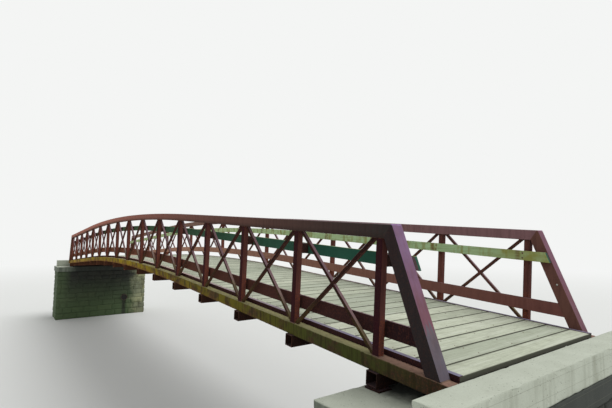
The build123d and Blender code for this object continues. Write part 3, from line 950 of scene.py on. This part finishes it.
# The band is painted darker towards the right end as shade, and is pinker and paler towards the
# left; the packers are cut from bar, hide behind the rail and are painted dark as the shade there.
band_steel = patina("steel_band_rolled", ("#6e4642", "#c29480"), ("#221318", "#7a4a34"), rust=0.2, dirt=0.2)
packer_steel = patina("steel_bar_flame_cut", ("#2b1f1d", "#4a2f28"), ("#211a1a", "#3d261f"), top_dust_and_sky_amount=0.5)
for side in ("front", "rear"):
    dress(f"{side}_toe_board", band_steel.material, band_corner)
    dress(f"{side}_packers", packer_steel.material)

# Edge channels and stringers. Rolled channels on the floor beams: the edge channels hold the
# ends of the floor boards down, the stringers carry them.
channel_corner = 0.002
channel_span = (11.0, 5.0)    # along the bridge
# The upper flanges are pale with dust and painted sky light, bluish at the right end and pink away
# from it; the stringers take the colour of the beams, painted dark as the shade under the floor.
channel_steel = patina("steel_channel_rolled", ("#5a3c3a", "#74524a"), ("#2c1a1d", "#4a2c26"),
                       top_dust_and_sky_amount=1.0)
tree = channel_steel.tree
feed(tree, channel_steel.upper, stain(tree, "#7a768a", "#b8a29c", channel_steel.x, *channel_span, 1.0))
for side in ("front", "rear"):
    dress(f"{side}_edge_channel", channel_steel.material, channel_corner)
dress("stringers", beam_steel.material, channel_corner)

# Floor. Sawn softwood planks, 11 1/4 in wide, laid across the bridge on the stringers with
# narrow gaps; the last one at each end is cut to fill what is left.
board_thickness = 0.051
deck_top = chord_size + board_thickness   # the stringers are as high as the chords
board_width = 0.2858
board_pitch = 0.2921
half_gap = (board_pitch - board_width) / 2
gap_spread = (0.5, 2.2)       # of that half gap, as boards shrink and lie unevenly
first_gap = 12.065            # middle of the gap between the last two boards at the right
board_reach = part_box("floor")[1].y
board_short = 0.006           # the ends of the boards fall short of that by up to this
board_ease = 0.003
board_lift = (-0.0025, -0.0005)
board_cup = 0.001
cup_edge = 0.33               # where the cupped middle starts, as a share of the width
boards_apart = 50             # how far apart the noise of two boards may be taken
board_wobble = 0.0015
wobble_waves = (3, 1.3)       # per metre, across a board and along it
board_swell = 0.0012
swell_waves = (5, 2)
board_sections = 14


def floor_boards():
    """All the boards as separate closed solids in one mesh, each with its own tone."""
    chance = random.Random(5)
    mesh = bmesh.new()
    tone_layer = mesh.loops.layers.color.new("tone")
    seams = []
    x = first_gap
    while x > -line_end:
        seams.append(x)
        x -= board_pitch
    edges = [line_end + half_gap, *seams, -line_end - half_gap]
    for right, left in zip(edges, edges[1:]):
        x1 = right - half_gap * chance.uniform(*gap_spread)
        x0 = left + half_gap * chance.uniform(*gap_spread)
        lift = chance.uniform(*board_lift)
        cup = chance.uniform(-board_cup, board_cup)
        tone, shift = chance.random(), chance.random()
        reach = [board_reach - chance.uniform(0, board_short) for _ in range(2)]
        wave = chance.uniform(0, boards_apart)
        profile = [
            (x0, deck_top - board_thickness), (x0, deck_top - board_ease), (x0 + board_ease, deck_top),
            (x0 + (x1 - x0) * cup_edge, deck_top + cup), (x1 - (x1 - x0) * cup_edge, deck_top + cup),
            (x1 - board_ease, deck_top), (x1, deck_top - board_ease), (x1, deck_top - board_thickness),
        ]
        rings = []
        for i in range(board_sections + 1):
            y = -reach[0] + (reach[0] + reach[1]) * i / board_sections
            ring = []
            for px, above in profile:
                spot = Vector((px * wobble_waves[0], y * wobble_waves[1], wave))
                if above > deck_top - board_thickness / 2:
                    hump = noise.noise(Vector((px * swell_waves[0], y * swell_waves[1], wave + 9)))
                    above += lift + board_swell * hump
                ring.append(on_line(px + board_wobble * noise.noise(spot), above, y))
            rings.append(ring)
        for face in skin(mesh, rings):
            for loop in face.loops:
                from_left = (loop.vert.co.x - x0) / (x1 - x0)
                loop[tone_layer] = (tone, min(1.0, max(0.0, from_left)), shift, 1.0)
    return mesh


# Weathered softwood is silver grey and matt: sun and rain have opened the grain and raised
# pale fibres. Each board greys in its own tone, dirt lies in patches and along the gaps, and the
# sides and undersides of the boards are darker, less so at the ends of the floor.
board_grain = 0.012           # real rings are 3 mm apart, too fine to show, so drawn coarser
board_fibre = 0.050
board_patch = 0.30
board_speck = 0.020
knot_spacing = 0.45
own_pattern = 37.0            # metres at most from one board's pattern to another's
board_edge_dirt = (0.466, 0.490)   # from the middle of a board, as shares of its width
deck_end_span = (line_end - 0.04, line_end - 0.02)

plank, tree, shader = new_material("softwood_sawn_weathered", Roughness=0.88, Specular_IOR_Level=0.3)
where = add(tree, "TexCoord").outputs["Object"]
facing = add(tree, "SeparateXYZ", {0: add(tree, "NewGeometry").outputs["Normal"]})
marks = add(tree, "Attribute", attribute_name="tone")
tone, from_left, shift = add(tree, "SeparateColor", {0: marks}).outputs
offset = add(tree, "CombineXYZ", {0: shift, 1: tone, 2: shift})
moved = add(tree, "VectorMath", {0: offset, "Scale": own_pattern}, operation="SCALE")
own = add(tree, "VectorMath", {0: where, 1: moved}, operation="ADD")
along_grain = add(tree, "Mapping", {"Vector": own, "Scale": (1.0, 0.035, 1.0)})
grain, fibre, patches, specks = [
    add(tree, "TexNoise", {"Vector": at, "Scale": 1 / size, "Detail": detail, "Roughness": roughness})
    for at, size, detail, roughness in (
        (along_grain, board_grain, 6.0, 0.65), (along_grain, board_fibre, 3.0, 0.5),
        (own, board_patch, 6.0, 0.65), (where, board_speck, 3.0, 0.7))
]
round_knots = add(tree, "Mapping", {"Vector": own, "Scale": (1.0, 0.5, 1.0)})
knots = add(tree, "TexVoronoi", {"Vector": round_knots, "Scale": 1 / knot_spacing})
silver = add(tree, "Mix", {0: tone, 6: "#a8af9c", 7: "#c8cdb8"}, data_type="RGBA")
grained = stain(tree, silver, "#7c7c6e", grain, 0.44, 0.68, 0.55)
bleached = stain(tree, grained, "#ccd0c3", fibre, 0.50, 0.70, 0.45)
dirty = stain(tree, bleached, "#868a75", patches, 0.50, 0.74, 0.45)
specked = stain(tree, dirty, "#6c6b5b", specks, 0.60, 0.72, 0.5)
knotty = stain(tree, specked, "#5a4f3f", knots, 0.045, 0.020, 0.8)
centred = add(tree, "Math", {0: from_left, 1: 0.5}, operation="SUBTRACT")
from_middle = add(tree, "Math", {0: centred}, operation="ABSOLUTE")
edged = stain(tree, knotty, "#46463b", from_middle, *board_edge_dirt, 0.85)
off_centre = add(tree, "Math", {0: add(tree, "SeparateXYZ", {0: where})}, operation="ABSOLUTE")
deck_end = add(tree, "MapRange", {0: off_centre, 1: deck_end_span[0], 2: deck_end_span[1], 3: 1.0, 4: 0.55})
darker_sides = stain(tree, edged, "#37362c", facing.outputs["Z"], 0.75, 0.25, 0.90, only=deck_end)
feed(tree, shader.inputs["Base Color"], darker_sides)
relief = add(tree, "Bump", {"Height": grain, "Strength": 0.7, "Distance": 0.0025})
feed(tree, shader.inputs["Normal"], relief)

floor = put("floor_boards", floor_boards(), plank)
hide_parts("floor")

# Floor bolts. Two domed steel bolts hold every board down on each line of stringers, their
# heads driven a little into the wood.
floor_bolt = [(0.0085, -0.003), (0.0085, -0.0005), (0.0060, 0.0020), (0.0020, 0.0028)]
floor_bolt_sink = 0.001
floor_bolt_turns = 8
bolt_rows = [-1.378, -0.677, 0.025, 0.677, 1.378]
bolt_from_gap = 0.055
bolt_pitting = 0.005
# Forged steel: rust has eaten the plating, which leaves the heads brown and pitted, and a
# little less matt than the wood.
rusty, tree, shader = new_material("steel_bolt_forged_rusty", Roughness=0.7)
where = add(tree, "TexCoord").outputs["Object"]
pitting = add(tree, "TexNoise", {"Vector": where, "Scale": 1 / bolt_pitting, "Detail": 3.0})
oxide = add(tree, "Mix", {0: pitting, 6: "#3c2b24", 7: "#7b5a45"}, data_type="RGBA")
feed(tree, shader.inputs["Base Color"], oxide)
bolts = bmesh.new()
gap_x = first_gap
while gap_x - board_pitch > -line_end:
    for x in (gap_x - bolt_from_gap, gap_x - board_pitch + bolt_from_gap):
        for y in bolt_rows:
            head = on_line(x, deck_top - floor_bolt_sink, y)
            skin(bolts, turned(floor_bolt, head, square_to_line(x), floor_bolt_turns))
    gap_x -= board_pitch
put("floor_bolts", bolts, rusty)

# Rub rails. Sawn 2 by 6 softwood on edge, bolted through the packers to the uprights, its
# ends sawn flush with the end posts.
rail_corner = 0.004
rail_grain = 0.014            # drawn coarser than real rings, as on the floor
rail_cloud = 0.30
rail_run = 0.13
rail_shade_span = (11.0, 0.0)       # along the bridge, from the painted shade at the right end to the paler wood
lichen_span = (10.6, 11.3)
bolt_rust = (0.465, 0.492)    # from the middle of a bay, as shares of it
# Weathered softwood under algae: towards the walkway it is pale grey green with brown runs,
# rust by the bolts and yellow lichen at the right end, and painted darker towards the right end as
# shade. Behind it is green black: mould, painted dark as shade as well.
rail_board, tree, shader = new_material("softwood_sawn_mossy", Roughness=0.88, Specular_IOR_Level=0.3)
where = add(tree, "TexCoord").outputs["Object"]
x, y = add(tree, "SeparateXYZ", {0: where}).outputs[:2]
facing = add(tree, "SeparateXYZ", {0: add(tree, "NewGeometry").outputs["Normal"]})
hand = add(tree, "Math", {0: y}, operation="SIGN")
outwards = add(tree, "Math", {0: facing.outputs["Y"], 1: hand}, operation="MULTIPLY")
flat_top = add(tree, "MapRange", {0: facing.outputs["Z"], 1: 0.4, 2: 0.8, 3: 1.0, 4: 0.1})
along_grain = add(tree, "Mapping", {"Vector": where, "Scale": (0.04, 1.0, 1.0)})
stretched = add(tree, "Mapping", {"Vector": where, "Scale": (1.0, 1.0, 0.25)})
grain, cloud, runs = [
    add(tree, "TexNoise", {"Vector": at, "Scale": 1 / size, "Detail": detail, "Roughness": roughness})
    for at, size, detail, roughness in (
        (along_grain, rail_grain, 6.0, 0.65), (where, rail_cloud, 5.0, 0.6), (stretched, rail_run, 4.0, 0.6))
]
less_pale, most_pale, dark_mould_shade, green_mould_shade = [
    stain(tree, right, left, x, *rail_shade_span, 1.0)
    for right, left in (
        ("#93ae86", "#b0ce95"), ("#b5d0a3", "#d4e8b6"), ("#103a2e", "#334a30"), ("#185a48", "#42603c"))
]
pale = add(tree, "Mix", {0: cloud, 6: less_pale, 7: most_pale}, data_type="RGBA")
grained = stain(tree, pale, "#737a52", grain, 0.42, 0.66, 0.5)
run_down = stain(tree, grained, "#837a38", runs, 0.50, 0.62, 0.8)
lichen_patch = add(tree, "MapRange", {0: cloud, 1: 0.38, 2: 0.60, 3: 0.25, 4: 0.75})
yellowed = stain(tree, run_down, "#858440", x, *lichen_span, 1.2, only=lichen_patch)
stations_from = add(tree, "Math", {0: x, 1: 1 / bay, 2: 0.5}, operation="MULTIPLY_ADD")
in_bay = add(tree, "Math", {0: stations_from}, operation="FRACT")
off_middle = add(tree, "Math", {0: in_bay, 1: 0.5}, operation="SUBTRACT")
from_middle = add(tree, "Math", {0: off_middle}, operation="ABSOLUTE")
rusted = add(tree, "MapRange", {0: grain, 1: 0.30, 2: 0.62, 3: 0.2, 4: 0.8})
bolt_stained = stain(tree, yellowed, "#5f3f22", from_middle, *bolt_rust, 1.0, only=rusted)
# Behind the rail: mould, with painted shade.
mould_in_painted_shade = add(tree, "Mix", {0: cloud, 6: dark_mould_shade, 7: green_mould_shade}, data_type="RGBA")
mould_and_shade_behind = stain(tree, bolt_stained, mould_in_painted_shade, outwards, -0.6, -0.1, 0.98, only=flat_top)
feed(tree, shader.inputs["Base Color"], mould_and_shade_behind)
feed(tree, shader.inputs["Normal"], add(tree, "Bump", {"Height": grain, "Strength": 0.7, "Distance": 0.002}))
for side in ("front", "rear"):
    dress(f"{side}_rub_rail", rail_board, rail_corner)

# Rail bolts. Two carriage bolts with domed heads go through the rail at every upright. They
# are of the same rusty steel as the floor bolts.
rail_face = 1.434             # middle of the bridge to the rail
rail_bottom = 1.080
rail_bolt = [(0.0135, -0.003), (0.0135, 0.0005), (0.0110, 0.0040), (0.0060, 0.0062), (0.0015, 0.0068)]
rail_bolt_heights = (0.036, 0.106)
rail_bolt_turns = 16
for side, hand in (("front", -1), ("rear", 1)):
    bolts = bmesh.new()
    for x in stations:
        for height in rail_bolt_heights:
            head = on_line(x, rail_bottom + height, hand * rail_face)
            for face in skin(bolts, turned(rail_bolt, head, Vector((0, -hand, 0)), rail_bolt_turns)):
                face.smooth = True
    put(f"{side}_rail_bolts", bolts, rusty)
